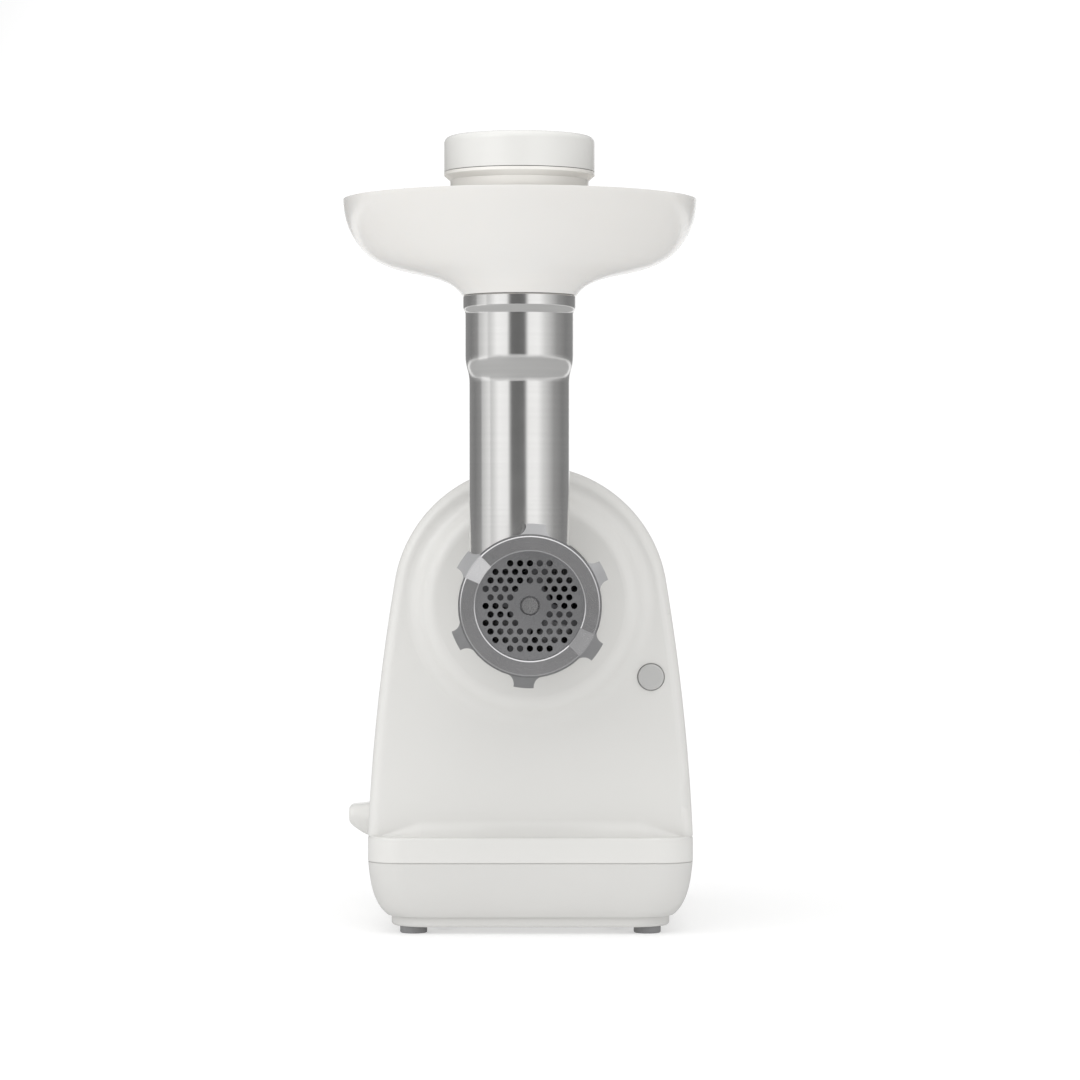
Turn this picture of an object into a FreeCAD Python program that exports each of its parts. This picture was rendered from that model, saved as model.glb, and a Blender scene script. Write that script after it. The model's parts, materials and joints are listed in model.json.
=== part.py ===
"""Electric meat grinder: white plastic motor housing, metal mincing head, loading tray and pusher.

Millimetres, +Z up, the front faces -Y. The origin is under the middle of the whole machine, on the surface it
stands on. The feed tube and the tray stand on x = 0; the screw axis lies head_x to the right of them.
"""

import FreeCAD
import Part

import math
import os

V = FreeCAD.Vector
X_AXIS = V(1, 0, 0)
Y_AXIS = V(0, 1, 0)
Z_AXIS = V(0, 0, 1)

# ---- driving dimensions -------------------------------------------------------------------------------------

head_x = 4.8  # screw axis, sideways
head_z = 152.0  # screw axis, height
front_y = -55.0  # front face of the housing
rear_y = 143.5  # rear face of the housing
seam_y = 75.0  # joint between the front and rear housings
wall = 2.6  # housing wall
fit_gap = 0.3  # between pieces that move past each other
running_gap = 0.05  # radial, shaft in its bush

arch_r = 63.2  # round top of the housing
arch_start_deg = 8.0  # where the round top meets the side
side_mid = (70.3, 104.0)  # half width and height on the bowed side
side_foot = (74.7, 45.0)  # half width and height where the base block starts
front_edge_r = 5.0
rear_edge_r = 17.0
screw_post_places = ((52.5, 172.0), (65.0, 88.0))  # half width and height
screw_post_r = 5.5
screw_tip_y = 53.0
screw_head_depth = 11.0
vent_count = 9
vent_low_z = 80.0
vent_pitch = 8.0

base_half = 74.7
toe_edge_r = 1.2
base_front_y = -67.0
base_corner_r = 17.0
base_split_z = 33.6  # joint between the housing and the base shell
groove = 0.5  # parting line, width and depth
base_top_z = 45.0
cove_r = 8.0
cove_flat = 50.0  # half length at full radius
cove_end = 68.0
base_bottom_z = 8.0
base_bottom_half = 65.9
plate_under_z = 3.2
plate_floor = 2.0
plate_half = 64.2
plate_edge_r = 1.6
base_profile = ((8.0, 65.9), (11.4, 68.9), (18.6, 72.2), (26.0, 73.8), (33.6, 74.7))

foot_r = 6.25
foot_dx = 53.8
foot_ys = (-46.0, 122.0)
foot_stem_r = 3.2
base_screw_ys = (-30.0, 112.0)
plate_top_z = plate_under_z + plate_floor

boss_r = 57.0
boss_flat_r = 43.0
boss_depth = 7.0
socket_r = 32.0  # opening in the boss, filled by the socket ring
socket_back_r = 36.5
collar_r = 28.6
lug_r = 30.6
lug_arc_deg = 28.0
lug_places_deg = (50.0, 170.0, 290.0)
head_turn_deg = 40.0
lug_y = (-52.0, -47.0)
ring_y = (-61.5, -42.0)

button_dx = 55.3
button_z = 118.0
button_r = 6.0
button_hole_r = 6.3
button_flange_r = 7.5

barrel_r = 30.6
barrel_front_y = -141.0
thread_back_y = -123.0
thread_r = 29.2
seat_r = 27.15
bore_r = 26.2
barrel_floor_y = (-52.0, -46.0)
tube_y = -100.0
tube_r = 22.4
tube_bore_r = 19.7
tube_mouth_r = 24.2
tube_mouth_bore_r = 22.0
tube_taper_z = (251.0, 263.0)
tube_top_z = 290.0
bead_r = 25.2
bead_z = (281.5, 285.0)

nut_front_y = -145.0
nut_back_y = -123.4
nut_lip_y = -141.5  # inner face of the lip that holds the disc
nut_lip_r = 24.0
nut_edge = (0.5, 0.2)  # bevel round the front face, across and deep
nut_collar_r = 30.6
nut_base_r = 31.4
nut_base_y = -142.4
nut_lug_r = 36.0
nut_lug_count = 6
nut_lug_half_w = 4.5
nut_lug_root = 10.0
nut_turn_deg = 4.5
nut_slot_deg = 22.0
nut_slot_depth = 1.0  # at the mouth; the floor then falls away outwards
nut_slope = 0.25
nut_bore_r = 29.5

disc_y = (-141.2, -137.2)
disc_r = 27.0
hole_pitch = 4.3
hole_r = 1.4
pin_r = 4.0

auger_r = 25.6
auger_y = (-130.2, -54.0)
auger_core_r = (8.5, 14.0)
flight_pitch = 24.0
square_w = 9.0
drive_square_w = 10.0

tray_wall = 2.3
tray_front_y = (-125.6, -135.6)
tray_profile = (
    (290.1, 25.6),
    (295.5, 31.3),
    (299.6, 41.1),
    (302.6, 52.0),
    (306.5, 62.6),
    (312.0, 70.6),
    (320.2, 76.8),
    (328.4, 80.0),
    (333.4, 80.8),
    (336.6, 81.0),
)
tray_neck_r = 21.6
tray_neck_bore_r = 20.0
tray_neck_z = 267.0

pusher_r = 19.0
pusher_bottom_z = 179.6
cup_r = 33.65
cup_neck_r = (30.2, 31.0)
cup_z = (326.0, 341.3, 343.6, 345.0)
cup_wall = 2.4
lid_z = (345.3, 361.0)
lid_edge_r = 3.0

knob_y = 0.0
knob_z = 49.4
knob_tip_x = -80.2
knob_face_x = -69.4
knob_disc_r = 13.5

motor_z = 78.0
gear_angle_deg = 28.0  # second gear, from straight below the spindle
plate_y = (-38.0, -33.0)
cover_y = (-33.0, 12.0)
gearbox_half = 58.0
gearbox_z = (66.0, 194.0)
gearbox_corner_r = 42.0
first_stage = (12, 54, 1.0)  # pinion teeth, gear teeth, module
second_stage = (12, 45, 1.25)
third_stage = (11, 40, 1.75)
mesh_gap = 0.1
pressure_deg = 25.0
addendum = 0.8
dedendum = 1.1
gear_pin_r = 3.0
spindle_r = 11.0
motor_shaft_r = 4.0
bearing_r = 11.0
stator_y = (40.0, 80.0)
rotor_r = 20.0
pole_r = 20.5
slot_ring_r = 28.2
stator_size = (72.0, 66.0)
commutator_y = (93.0, 105.0)
commutator_r = 11.0
end_bell_y = (109.0, 113.0)

inlet_bore_r = 3.75
inlet_pad_r = 11.0
inlet_dx = -45.0
inlet_z = 20.0

# ---- helpers ------------------------------------------------------------------------------------------------

os.makedirs("parts", exist_ok=True)


def save(shape, node):
    """One STEP file per node, named after it."""
    shape.exportStep("parts/" + node + ".step")


def box(x0, x1, y0, y1, z0, z1):
    return Part.makeBox(x1 - x0, y1 - y0, z1 - z0, V(x0, y0, z0))


def rod_y(r, y0, y1, x=head_x, z=head_z):
    """Round bar along Y."""
    return Part.makeCylinder(r, y1 - y0, V(x, y0, z), Y_AXIS)


def tube_along_y(r_out, r_in, y0, y1, x=head_x, z=head_z):
    return rod_y(r_out, y0, y1, x, z).cut(rod_y(r_in, y0 - 1, y1 + 1, x, z))


def cone_y(r0, r1, y0, y1, x=head_x, z=head_z):
    return Part.makeCone(r0, r1, y1 - y0, V(x, y0, z), Y_AXIS)


def rod_z(r, z0, z1, x=0.0, y=tube_y):
    return Part.makeCylinder(r, z1 - z0, V(x, y, z0), Z_AXIS)


def cone_z(r0, r1, z0, z1, x=0.0, y=tube_y):
    return Part.makeCone(r0, r1, z1 - z0, V(x, y, z0), Z_AXIS)


def fuse(first, *others):
    out = first.fuse(list(others))
    return out.removeSplitter()


def turned(shape, deg, x=head_x, z=head_z):
    """The shape turned about the line along Y through (x, z)."""
    out = shape.copy()
    out.rotate(V(x, 0, z), Y_AXIS, deg)
    return out


def around_y(shape, count, start_deg=0.0, x=head_x, z=head_z):
    return [turned(shape, start_deg + 360.0 * i / count, x, z) for i in range(count)]


def revolve_z(points, x=0.0, y=tube_y):
    """Solid of revolution about a vertical line, from (radius, height) points joined by straight lines."""
    corners = [V(x + r, y, z) for r, z in points]
    face = Part.Face(Part.makePolygon(corners + corners[:1]))
    return face.revolve(V(x, y, 0), Z_AXIS, 360)


def rounded_wire(x0, x1, y0, y1, r, z):
    """Horizontal rectangle with round corners."""
    k = r * math.sqrt(0.5)
    edges = []
    corners = ((x1 - r, y0 + r, -1), (x1 - r, y1 - r, 0), (x0 + r, y1 - r, 1), (x0 + r, y0 + r, 2))
    ends = []
    for cx, cy, quarter in corners:
        a = math.radians(90 * quarter)
        start = V(cx + r * math.cos(a), cy + r * math.sin(a), z)
        mid = V(cx + k * (math.cos(a) - math.sin(a)), cy + k * (math.sin(a) + math.cos(a)), z)
        end = V(cx - r * math.sin(a), cy + r * math.cos(a), z)
        ends.append((start, mid, end))
    for i, (start, mid, end) in enumerate(ends):
        edges.append(Part.Arc(start, mid, end).toShape())
        edges.append(Part.LineSegment(end, ends[(i + 1) % 4][0]).toShape())
    return Part.Wire(edges)


def rounded_block(x0, x1, y0, y1, r, z0, z1):
    face = Part.Face(rounded_wire(x0, x1, y0, y1, r, z0))
    return face.extrude(V(0, 0, z1 - z0))


def upright_block(x0, x1, z0, z1, r, y0, y1):
    """A rounded rectangle in the XZ plane, extruded along Y."""
    block = rounded_block(x0, x1, -z1, -z0, r, 0, y1 - y0)
    block.rotate(V(0, 0, 0), X_AXIS, -90)
    block.translate(V(0, y0, 0))
    return block


# ---- housing ------------------------------------------------------------------------------------------------


def arch_prism(y0, y1, inset, z_low):
    """The arched section of the housing, moved in by inset, between two depths."""
    a = math.radians(arch_start_deg)
    r = arch_r - inset
    hip = (r * math.cos(a), head_z + r * math.sin(a))

    def point(half, z):
        return V(head_x + half, y0, z)

    foot = (side_foot[0] - inset, z_low)
    mid = (side_mid[0] - inset, side_mid[1])
    edges = [
        Part.Arc(point(*foot), point(*mid), point(*hip)).toShape(),
        Part.Arc(point(*hip), point(0, head_z + r), point(-hip[0], hip[1])).toShape(),
        Part.Arc(point(-hip[0], hip[1]), point(-mid[0], mid[1]), point(-foot[0], foot[1])).toShape(),
        Part.LineSegment(point(-foot[0], foot[1]), point(*foot)).toShape(),
    ]
    face = Part.Face(Part.Wire(edges))
    return face.extrude(V(0, y1 - y0, 0))


def edges_at(shape, test):
    return [e for e in shape.Edges if all(test(v.Point) for v in e.Vertexes)]


def rounded_arch(inset, z_low):
    """The arched part of the housing with its front and rear edges rounded, moved in by inset."""
    y0 = front_y + inset
    y1 = rear_y - inset
    arch = arch_prism(y0, y1, inset, z_low)
    for y, r in ((y0, front_edge_r), (y1, rear_edge_r)):
        rim = [e for e in edges_at(arch, lambda p, y=y: abs(p.y - y) < 0.01) if e.BoundBox.ZMax > head_z]
        arch = arch.makeFillet(r - inset, rim)
    return arch


def cove():
    """Hollow fillet between the front face and the toe, running out to nothing at both ends."""

    def section(x, r):
        k = r * (1 - math.sqrt(0.5))
        low = V(x, front_y - r, base_top_z)
        high = V(x, front_y, base_top_z + r)
        inner = V(x, front_y + 1, base_top_z + r)
        corner = V(x, front_y + 1, base_top_z - 1)
        under = V(x, front_y - r, base_top_z - 1)
        edges = [
            Part.Arc(low, V(x, front_y - k, base_top_z + k), high).toShape(),
            Part.LineSegment(high, inner).toShape(),
            Part.LineSegment(inner, corner).toShape(),
            Part.LineSegment(corner, under).toShape(),
            Part.LineSegment(under, low).toShape(),
        ]
        return Part.Wire(edges)

    stations = ((-cove_end, 0.5), (-cove_flat, cove_r), (cove_flat, cove_r), (cove_end, 0.5))
    return Part.makeLoft([section(head_x + x, r) for x, r in stations], True, True)


def housing_solid():
    upper = rounded_arch(0.0, base_top_z)
    x0 = head_x - base_half
    x1 = head_x + base_half
    toe = rounded_block(x0, x1, base_front_y, rear_y, base_corner_r, base_split_z, base_top_z)
    toe_front_y = base_front_y + base_corner_r + 0.1
    rim = edges_at(toe, lambda p: abs(p.z - base_top_z) < 0.01 and p.y < toe_front_y)
    toe = toe.makeFillet(toe_edge_r, rim)
    return fuse(upper, toe, cove())


def housing_hollow():
    x0 = head_x - base_half + wall
    x1 = head_x + base_half - wall
    low = base_split_z - 1
    y0 = base_front_y + wall
    upper = rounded_arch(wall, base_top_z - wall)
    toe = rounded_block(x0, x1, y0, rear_y - wall, base_corner_r, low, base_top_z - wall)
    return fuse(upper, toe)


def boss():
    """Round boss round the head, with a soft shoulder that runs out into the front face."""
    top_y = front_y - boss_depth
    run = boss_r - boss_flat_r
    arc_r = (run * run + boss_depth * boss_depth) / (4 * boss_depth)
    a = math.asin(run / 2 / arc_r) / 2
    along = arc_r * math.sin(a)
    down = arc_r * (1 - math.cos(a))

    def at(r, y):
        return V(head_x + r, y, head_z)

    shoulder = at(boss_flat_r, top_y)
    middle = at((boss_flat_r + boss_r) / 2, front_y - boss_depth / 2)
    foot = at(boss_r, front_y)
    edges = [
        Part.LineSegment(at(0, top_y), shoulder).toShape(),
        Part.Arc(shoulder, at(boss_flat_r + along, top_y + down), middle).toShape(),
        Part.Arc(middle, at(boss_r - along, front_y - down), foot).toShape(),
        Part.LineSegment(foot, at(boss_r, front_y + wall)).toShape(),
        Part.LineSegment(at(boss_r, front_y + wall), at(0, front_y + wall)).toShape(),
        Part.LineSegment(at(0, front_y + wall), at(0, top_y)).toShape(),
    ]
    return Part.Face(Part.Wire(edges)).revolve(V(head_x, 0, head_z), Y_AXIS, 360)


def housing_shell():
    shell = housing_solid().cut(housing_hollow())
    relief = rod_y(boss_flat_r - 2, front_y - boss_depth + wall, front_y + wall + 1)
    shell = fuse(shell, boss()).cut(relief)
    shell = shell.cut(rod_y(socket_r, front_y - boss_depth - 1, front_y + wall + 1))
    button_hole = rod_y(button_hole_r, front_y - 1, front_y + wall + 1, head_x + button_dx, button_z)
    knob_hole = Part.makeCylinder(knob_disc_r + fit_gap, 12, V(-72, knob_y, knob_z), X_AXIS)
    return shell.cut([button_hole, knob_hole])


def screw_points():
    """Four posts across the seam, each against the side wall."""
    return [(head_x + side * half, z) for side in (-1, 1) for half, z in screw_post_places]


def make_housings():
    shell = housing_shell()
    front = shell.common(box(-120, 120, -200, seam_y, 0, 300))
    rear = shell.common(box(-120, 120, seam_y, 200, 0, 300))
    inside = housing_hollow()
    for x, z in screw_points():
        front_post = rod_y(screw_post_r, screw_tip_y - 3, seam_y, x, z).common(inside)
        rear_post = rod_y(screw_post_r, seam_y, rear_y - wall, x, z).common(inside)
        front = front.fuse(front_post).cut(rod_y(1.7, screw_tip_y - 1, seam_y + 1, x, z))
        rear = rear.fuse(rear_post).cut(rod_y(1.9, seam_y - 1, rear_y + 1, x, z))
        rear = rear.cut(rod_y(3.6, rear_y - screw_head_depth, rear_y + 1, x, z))
    slots = []
    for i in range(vent_count):
        z = vent_low_z + vent_pitch * i
        slots.append(upright_block(head_x - 32, head_x + 32, z, z + 3.6, 1.7, rear_y - wall - 1, rear_y + 1))
    rear = rear.cut(slots)
    seam_core = fuse(
        arch_prism(seam_y, seam_y + groove, groove, base_top_z),
        box(
            head_x - base_half + groove,
            head_x + base_half - groove,
            seam_y,
            seam_y + groove,
            base_split_z - 1,
            base_top_z,
        ),
    )
    rear = rear.cut(box(-120, 120, seam_y - 1, seam_y + groove, base_split_z - 1, 300).cut(seam_core))
    save(front.removeSplitter(), "front_housing")
    save(rear.removeSplitter(), "rear_housing")
    screws = [cross_screw(x, z) for x, z in screw_points()]
    save(Part.makeCompound(screws), "housing_screws")


def cross_screw(x, z):
    """Pan head screw with a cross recess, driven from the rear."""
    seat = rear_y - screw_head_depth
    cross = fuse(
        box(x - 0.5, x + 0.5, seat + 1.3, seat + 4, z - 2, z + 2),
        box(x - 2, x + 2, seat + 1.3, seat + 4, z - 0.5, z + 0.5),
    )
    return fuse(rod_y(1.5, screw_tip_y, seat, x, z), rod_y(3.2, seat, seat + 2.5, x, z)).cut(cross)


# ---- base ---------------------------------------------------------------------------------------------------


def base_loft(inset, low_z):
    wires = []
    for z, half in base_profile:
        pull = base_half - half + inset
        x0 = head_x - base_half + pull
        x1 = head_x + base_half - pull
        at = z if z > base_profile[0][0] else low_z
        wires.append(rounded_wire(x0, x1, base_front_y + pull, rear_y - pull, base_corner_r - 0.5 * inset, at))
    return Part.makeLoft(wires, True, False)


def base_screw_points():
    return [(head_x + dx, y) for dx in (-40.0, 40.0) for y in base_screw_ys]


def plate_block(half, r, z0, z1):
    """Block with the outline of the bottom plate at the given half width."""
    pull = base_half - half
    return rounded_block(head_x - half, head_x + half, base_front_y + pull, rear_y - pull, r, z0, z1)


def make_plate():
    lip = plate_block(plate_half, base_corner_r, plate_under_z, base_bottom_z)
    lip = lip.makeFillet(plate_edge_r, edges_at(lip, lambda p: abs(p.z - plate_under_z) < 0.01))
    upstand_half = base_bottom_half - wall - fit_gap
    upstand = plate_block(upstand_half, base_corner_r - 1.5, base_bottom_z - 1, base_bottom_z + 1.6)
    pocket = plate_block(upstand_half - 1.7, base_corner_r - 3.0, plate_top_z, base_bottom_z + 3)
    cuts = [pocket]
    for i in range(-5, 6):
        x = head_x + 7.0 * i
        cuts.append(rounded_block(x - 1.6, x + 1.6, 40, 82, 1.5, 0, 10))
    for x, y in base_screw_points():
        cuts.append(Part.makeCylinder(1.7, 10, V(x, y, 0)))
        cuts.append(Part.makeCone(3.2, 1.7, 1.6, V(x, y, plate_under_z)))
    for dx in (-foot_dx, foot_dx):
        for y in foot_ys:
            cuts.append(Part.makeCylinder(foot_stem_r, 10, V(head_x + dx, y, 0)))
    return fuse(lip, upstand).cut(cuts)


def make_base():
    shell = base_loft(0.0, base_bottom_z)
    inner = base_loft(wall, base_bottom_z - 1)
    lid_cut = rounded_block(
        head_x - base_half + wall,
        head_x + base_half - wall,
        base_front_y + wall,
        rear_y - wall,
        base_corner_r - wall,
        base_split_z - 1.5,
        base_split_z + 1,
    )
    shell = shell.cut(inner).cut(lid_cut)
    rim_core = rounded_block(
        head_x - base_half + groove,
        head_x + base_half - groove,
        base_front_y + groove,
        rear_y - groove,
        base_corner_r - groove,
        base_split_z - groove,
        base_split_z + 1,
    )
    rim = box(-120, 120, -120, 200, base_split_z - groove, base_split_z + 1)
    shell = shell.cut(rim.cut(rim_core))
    inlet_x = head_x + inlet_dx
    pad = rod_y(inlet_pad_r, rear_y - 7.5, rear_y, inlet_x, inlet_z)
    shell = fuse(shell, pad).cut(rod_y(8.0, rear_y - 12, rear_y + 2, inlet_x, inlet_z))
    posts = []
    for x, y in base_screw_points():
        post = Part.makeCylinder(5, 25.0, V(x, y, plate_top_z))
        posts.append(post.cut(Part.makeCylinder(1.4, 18, V(x, y, plate_top_z - 1))))
    rails = [box(head_x - 72, head_x + 72, y - 4, y + 4, 29.5, base_split_z) for y in base_screw_ys]
    shell = fuse(shell, *rails, *posts)
    save(shell, "base_shell")

    save(make_plate(), "bottom_plate")

    feet = []
    for dx in (-foot_dx, foot_dx):
        for y in foot_ys:
            pad = Part.makeCylinder(foot_r, plate_under_z, V(head_x + dx, y, 0))
            pad = pad.makeFillet(0.8, edges_at(pad, lambda p: p.z < 0.01))
            stem = Part.makeCylinder(foot_stem_r, 3.4, V(head_x + dx, y, plate_under_z))
            feet.append(fuse(pad, stem))
    save(Part.makeCompound(feet), "rubber_feet")

    screws = []
    for x, y in base_screw_points():
        head = Part.makeCone(3.1, 1.6, 1.6, V(x, y, plate_under_z + 0.1))
        shank = Part.makeCylinder(1.4, 16, V(x, y, plate_under_z + 1.7))
        slot = box(x - 3.5, x + 3.5, y - 0.5, y + 0.5, 0, plate_under_z + 0.7)
        screws.append(fuse(head, shank).cut(slot))
    save(Part.makeCompound(screws), "base_screws")

    gland = fuse(
        rod_y(8.0, rear_y - 9.5, rear_y, inlet_x, inlet_z),
        rod_y(inlet_pad_r - 0.5, rear_y, rear_y + 1.5, inlet_x, inlet_z),
    )
    save(gland.cut(rod_y(inlet_bore_r, rear_y - 11, rear_y + 2, inlet_x, inlet_z)), "cord_gland")


# ---- head socket, latch and button --------------------------------------------------------------------------


def sector(r_out, r_in, y0, y1, arc_deg, mid_deg):
    """Part of a ring about the screw axis; mid_deg turns it from straight up, positive towards +X."""
    half = math.radians(arc_deg / 2)
    reach = r_out * 3
    blade = [V(0, y0, 0), V(-reach * math.sin(half), y0, reach * math.cos(half))]
    blade.append(V(reach * math.sin(half), y0, reach * math.cos(half)))
    wedge = Part.Face(Part.makePolygon(blade + blade[:1])).extrude(V(0, y1 - y0, 0))
    wedge.translate(V(head_x, 0, head_z))
    ring = tube_along_y(r_out, r_in, y0, y1)
    return turned(ring.common(wedge), mid_deg)


latch_deg = math.degrees(math.atan2(button_dx, button_z - head_z))
latch_y = (-50.4, -47.4)
latch_reach = (30.9, 53.0)


def make_socket():
    behind_y = front_y - boss_depth + wall
    ring = fuse(
        tube_along_y(socket_r, collar_r + fit_gap, ring_y[0], behind_y),
        tube_along_y(socket_back_r, collar_r + fit_gap, behind_y, ring_y[1]),
        tube_along_y(boss_flat_r - 2, collar_r + fit_gap, behind_y, behind_y + 2.5),
    )
    groove = tube_along_y(lug_r + 0.4, collar_r - 1, lug_y[0] - 0.4, lug_y[1] + 0.4)
    entries = []
    for mid in lug_places_deg:
        entry = sector(lug_r + 0.4, collar_r - 1, ring_y[0] - 1, lug_y[1], lug_arc_deg + 4, mid + head_turn_deg)
        entries.append(entry)
    window = box(-4.3, 4.3, latch_y[0] - 0.3, latch_y[1] + 0.3, 25, 45)
    window.translate(V(head_x, 0, head_z))
    window = turned(window, latch_deg)
    save(ring.cut([groove, window] + entries), "head_socket")


def make_release():
    x = head_x + button_dx
    cap = rod_y(button_r, front_y - 1.4, front_y + 9.0, x, button_z)
    cap = cap.makeFillet(0.9, edges_at(cap, lambda p: p.y < front_y))
    flange = rod_y(button_flange_r, front_y + wall + fit_gap, front_y + wall + 1.8, x, button_z)
    hollow = rod_y(4.2, front_y + 3.0, front_y + 10.0, x, button_z)
    save(fuse(cap, flange).cut(hollow), "release_button")

    turns = 5
    spring_y = (front_y + 3.2, plate_y[0])
    coil_r = 3.4
    wire_r = 0.4
    pitch = (spring_y[1] - spring_y[0] - 2 * wire_r) / turns
    helix = Part.makeHelix(pitch, pitch * turns, coil_r)
    section = Part.Wire(Part.makeCircle(wire_r, V(coil_r, 0, 0), Y_AXIS))
    spring = Part.Wire(helix).makePipeShell([section], True, True)
    spring.rotate(V(0, 0, 0), X_AXIS, -90)
    spring.translate(V(x, spring_y[0] + wire_r, button_z))
    save(spring, "release_spring")

    bar = box(-4, 4, latch_y[0], latch_y[1], latch_reach[0], latch_reach[1])
    tab = box(-2.5, 2.5, latch_y[1] - 0.5, latch_y[1] + 3.0, latch_reach[1] - 5, latch_reach[1])
    bar = fuse(bar, tab)
    bar.translate(V(head_x, 0, head_z))
    save(turned(bar, latch_deg), "release_latch")


# ---- mincing head -------------------------------------------------------------------------------------------


def make_head():
    solid = fuse(
        rod_y(thread_r, barrel_front_y, thread_back_y),
        rod_y(barrel_r, thread_back_y, -62.5),
        rod_y(socket_r, -66.5, -62.5),
        rod_y(collar_r, -62.5, barrel_floor_y[1]),
        tube_outside(),
    )
    lugs = [sector(lug_r, collar_r - 1, *lug_y, lug_arc_deg, mid) for mid in lug_places_deg]
    solid = fuse(solid, *lugs)
    mouth_top = tube_taper_z[1] + 2
    hollow = fuse(
        rod_y(seat_r, barrel_front_y - 1, disc_y[1] + 0.2),
        rod_y(bore_r, disc_y[1], barrel_floor_y[0]),
        rod_z(tube_bore_r, head_z, tube_taper_z[0] + 2),
        cone_z(tube_bore_r, tube_mouth_bore_r, tube_taper_z[0] + 2, mouth_top),
        rod_z(tube_mouth_bore_r, mouth_top, tube_top_z + 1),
        rod_y(9.0, barrel_floor_y[0] - 1, barrel_floor_y[1] + 1),
    )
    solid = solid.cut(hollow)
    key = box(head_x - 1.4, head_x + 1.4, barrel_front_y, disc_y[1] + 0.2, head_z - 28.5, head_z - 25.2)
    ribs = []
    for deg in (60, 120, 180, 240, 300):
        rib = box(-1.0, 1.0, -136, -56, bore_r - 0.3, bore_r + 1)
        rib.translate(V(head_x, 0, head_z))
        ribs.append(turned(rib, deg + 12))
    save(fuse(solid, key, *ribs), "head_casting")

    bush = fuse(
        rod_y(9.0, barrel_floor_y[0], barrel_floor_y[1] + 0.8),
        rod_y(13.0, barrel_floor_y[0] - 1.4, barrel_floor_y[0]),
    )
    save(bush.cut(rod_y(7.0 + running_gap, -60, -40)), "auger_bush")


def s_curve(r0, r1, z0, z1):
    """Two equal arcs that lead from one radius to another, upright at both ends."""
    dr = r1 - r0
    dz = z1 - z0
    arc_r = (dr * dr + dz * dz) / (4 * dr)
    a = math.asin(dz / 2 / arc_r) / 2
    bulge = arc_r * (1 - math.cos(a))
    rise = arc_r * math.sin(a)
    start = V(r0, tube_y, z0)
    mid = V((r0 + r1) / 2, tube_y, (z0 + z1) / 2)
    end = V(r1, tube_y, z1)
    low = V(r0 + bulge, tube_y, z0 + rise)
    high = V(r1 - bulge, tube_y, z1 - rise)
    return [Part.Arc(start, low, mid).toShape(), Part.Arc(mid, high, end).toShape()]


def tube_outside():
    """Feed tube with its swelled mouth and the raised band round the top."""
    axis_top = V(0, tube_y, tube_top_z)
    axis_low = V(0, tube_y, head_z)
    foot = V(tube_r, tube_y, head_z)
    edge = V(bead_r, tube_y, tube_top_z - 0.6)
    rim = V(bead_r - 0.6, tube_y, tube_top_z)
    edges = [
        Part.LineSegment(axis_low, foot).toShape(),
        Part.LineSegment(foot, V(tube_r, tube_y, tube_taper_z[0])).toShape(),
        *s_curve(tube_r, tube_mouth_r, *tube_taper_z),
        Part.LineSegment(V(tube_mouth_r, tube_y, tube_taper_z[1]), V(tube_mouth_r, tube_y, bead_z[0])).toShape(),
        *s_curve(tube_mouth_r, bead_r, *bead_z),
        Part.LineSegment(V(bead_r, tube_y, bead_z[1]), edge).toShape(),
        Part.LineSegment(edge, rim).toShape(),
        Part.LineSegment(rim, axis_top).toShape(),
        Part.LineSegment(axis_top, axis_low).toShape(),
    ]
    return Part.Face(Part.Wire(edges)).revolve(V(0, tube_y, 0), Z_AXIS, 360)


def make_auger():
    y0, y1 = auger_y
    length = y1 - y0
    helix = Part.makeHelix(flight_pitch, length - 10, auger_core_r[0])
    root = auger_core_r[0] - 2
    corners = [V(root, 0, -2.6), V(auger_r, 0, -1.0), V(auger_r, 0, 1.0), V(root, 0, 2.6)]
    flight = Part.Wire(helix).makePipeShell([Part.makePolygon(corners + corners[:1])], True, True)
    flight.translate(V(0, 0, 3))
    core = Part.makeCone(auger_core_r[0], auger_core_r[1], length - 3)
    auger = core.fuse(flight).fuse(Part.makeCylinder(21.0, 3, V(0, 0, length - 3)))
    auger.rotate(V(0, 0, 0), X_AXIS, -90)
    auger.translate(V(head_x, y0, head_z))
    nose = fuse(
        rod_y(8.0, y0 - 0.2, y0 + 1),
        box(
            head_x - square_w / 2,
            head_x + square_w / 2,
            disc_y[1] + 0.2,
            y0 + 1,
            head_z - square_w / 2,
            head_z + square_w / 2,
        ),
        rod_y(pin_r, disc_y[0] + 0.7, disc_y[1] + 1),
        cone_y(pin_r - 0.5, pin_r, disc_y[0] + 0.2, disc_y[0] + 0.7),
    )
    auger = auger.fuse([nose]).cut(rod_y(3.0, y1 - 30, y1 + 1))
    save(auger, "auger")

    half = drive_square_w / 2
    shaft = fuse(
        rod_y(3.0, y1 - 30, y1 + 1),
        rod_y(7.0, y1, -44.0),
        box(head_x - half, head_x + half, -44.0, -24.0, head_z - half, head_z + half),
    )
    save(shaft, "auger_shaft")

    y_front = disc_y[1] + fit_gap
    y_back = y0 - 0.2
    hub = rod_y(9.5, y_front, y_back)
    arms = []
    for i in range(4):
        corners = [V(-4.5, y_front, 6), V(3.5, y_front, 6), V(2.0, y_front, 24.0), V(-3.5, y_front, 24.0)]
        arm = Part.Face(Part.makePolygon(corners + corners[:1])).extrude(V(0, 4.2, 0))
        arm.translate(V(head_x, 0, head_z))
        arms.append(turned(arm, 90 * i + 20))
    knife = fuse(hub, *arms)
    half = square_w / 2
    knife = knife.cut(box(head_x - half, head_x + half, -140, -120, head_z - half, head_z + half))
    save(knife, "knife")


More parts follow.
